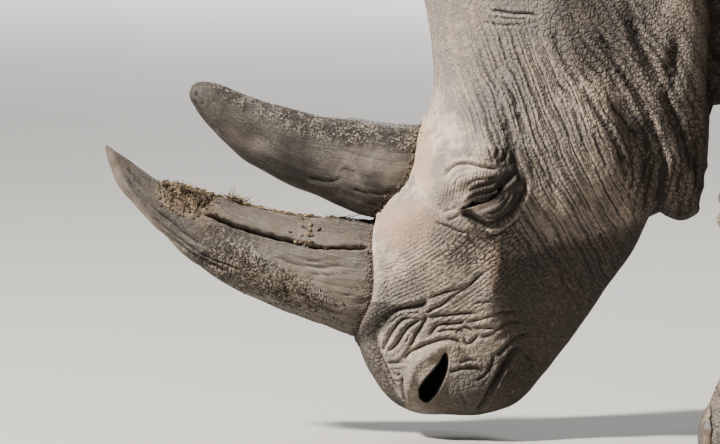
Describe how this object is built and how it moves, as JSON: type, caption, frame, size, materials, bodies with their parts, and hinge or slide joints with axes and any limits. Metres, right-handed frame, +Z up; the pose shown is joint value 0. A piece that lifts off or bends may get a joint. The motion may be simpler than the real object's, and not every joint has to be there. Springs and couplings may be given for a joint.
{
  "type": "grazing white rhinoceros model",
  "caption": "Life-size still model of a white rhinoceros grazing: head hung low, curved horns on the nose, heavy trunk on pillar legs, toes and a tufted tail.",
  "frame": {"origin": "on the floor, under the middle of the whole model's box", "axes": "+X from the muzzle towards the tail, +Y towards the animal's right side, +Z up"},
  "size_m": [3.421, 1.0294, 1.7837],
  "materials": {
    "skin": "thick bare hide, dusty beige over grey, wrinkled and cracked",
    "horn": "fibrous grey-brown horn, streaked along its length, caked with dry mud near the top",
    "eye": "wet dark brown eyeball",
    "toenail": "dull worn hoof horn"
  },
  "bodies": {
    "root": {"head": "skin", "lower_jaw": "skin", "neck": "skin", "trunk": "skin", "tail": "skin", "left_ear": "skin", "left_eye": "eye", "right_ear": "skin", "right_eye": "eye", "front_horn": "horn", "rear_horn": "horn", "left_fore_leg": "skin", "left_fore_foot": "skin", "left_fore_inner_toenail": "toenail", "left_fore_middle_toenail": "toenail", "left_fore_outer_toenail": "toenail", "left_hind_leg": "skin", "left_hind_foot": "skin", "left_hind_inner_toenail": "toenail", "left_hind_middle_toenail": "toenail", "left_hind_outer_toenail": "toenail", "right_fore_leg": "skin", "right_fore_foot": "skin", "right_fore_inner_toenail": "toenail", "right_fore_middle_toenail": "toenail", "right_fore_outer_toenail": "toenail", "right_hind_leg": "skin", "right_hind_foot": "skin", "right_hind_inner_toenail": "toenail", "right_hind_middle_toenail": "toenail", "right_hind_outer_toenail": "toenail"}
  },
  "joints": []
}
